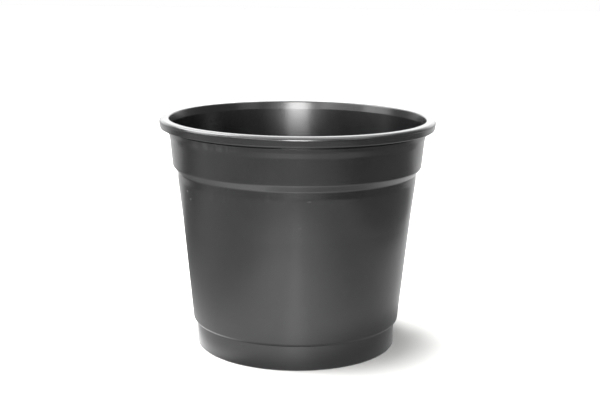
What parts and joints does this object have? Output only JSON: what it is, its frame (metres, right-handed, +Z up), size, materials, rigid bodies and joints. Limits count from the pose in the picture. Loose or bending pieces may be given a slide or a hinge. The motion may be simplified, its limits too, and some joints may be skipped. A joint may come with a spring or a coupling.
{
  "type": "florist bucket",
  "caption": "Round tapered plastic bucket, open at the top, with a flanged rim, a wider band under it, a stepped foot and a closed base, for standing cut flowers in water.",
  "frame": {"origin": "centre of the base, on the surface that the bucket stands on", "axes": "+Z up along the bucket's axis, out of its mouth; the bucket is the same all the way round, so X and Y are free"},
  "size_m": [0.28, 0.28, 0.235],
  "materials": {
    "black_polypropylene": "satin, as moulded"
  },
  "bodies": {
    "root": {"bucket": "black_polypropylene"}
  },
  "joints": []
}
